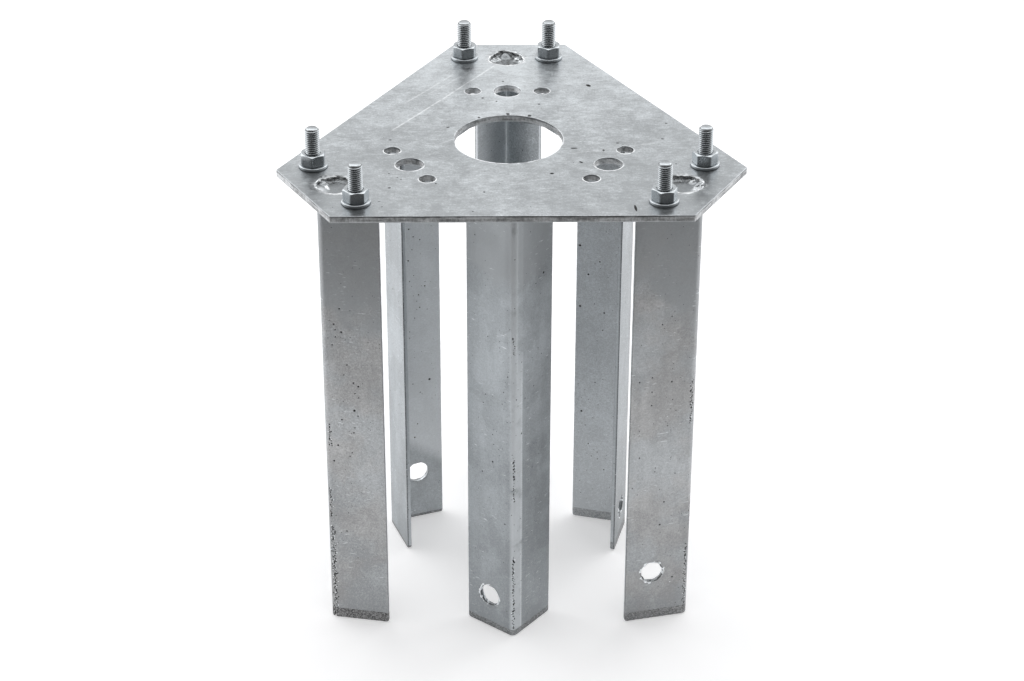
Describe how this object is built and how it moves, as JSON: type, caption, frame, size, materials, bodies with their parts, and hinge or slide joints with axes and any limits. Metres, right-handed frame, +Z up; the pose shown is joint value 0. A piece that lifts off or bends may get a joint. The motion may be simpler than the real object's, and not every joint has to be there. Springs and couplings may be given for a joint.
{
  "type": "lattice mast base",
  "caption": "Galvanised base for a triangular lattice mast: drilled plate with upright bolts, welded on folded legs that are cast into concrete.",
  "frame": {"origin": "centre of the base plate's top face, on the mast's axis", "axes": "+Z up along the mast's axis; one long side of the plate faces -Y and one cut-off corner points to +Y"},
  "size_m": [0.3812, 0.327, 0.454],
  "materials": {
    "plate_zinc": "hot-dip galvanised, satin",
    "leg_zinc": "hot-dip galvanised, dull grey and mottled",
    "fastener_zinc": "bright zinc",
    "weld_zinc": "galvanised weld bead"
  },
  "bodies": {
    "root": {"base_plate": "plate_zinc", "leg_back_corner": "leg_zinc", "leg_left_corner": "leg_zinc", "leg_right_corner": "leg_zinc", "leg_front_side": "leg_zinc", "leg_right_side": "leg_zinc", "leg_left_side": "leg_zinc", "weld_back_corner": "weld_zinc", "weld_left_corner": "weld_zinc", "weld_right_corner": "weld_zinc", "weld_front_side": "weld_zinc", "weld_right_side": "weld_zinc", "weld_left_side": "weld_zinc", "bolts": "fastener_zinc", "nuts": "fastener_zinc", "washer_back_left": "fastener_zinc", "washer_back_right": "fastener_zinc", "washer_left_front": "fastener_zinc", "washer_left_rear": "fastener_zinc", "washer_right_front": "fastener_zinc", "washer_right_rear": "fastener_zinc"}
  },
  "joints": []
}
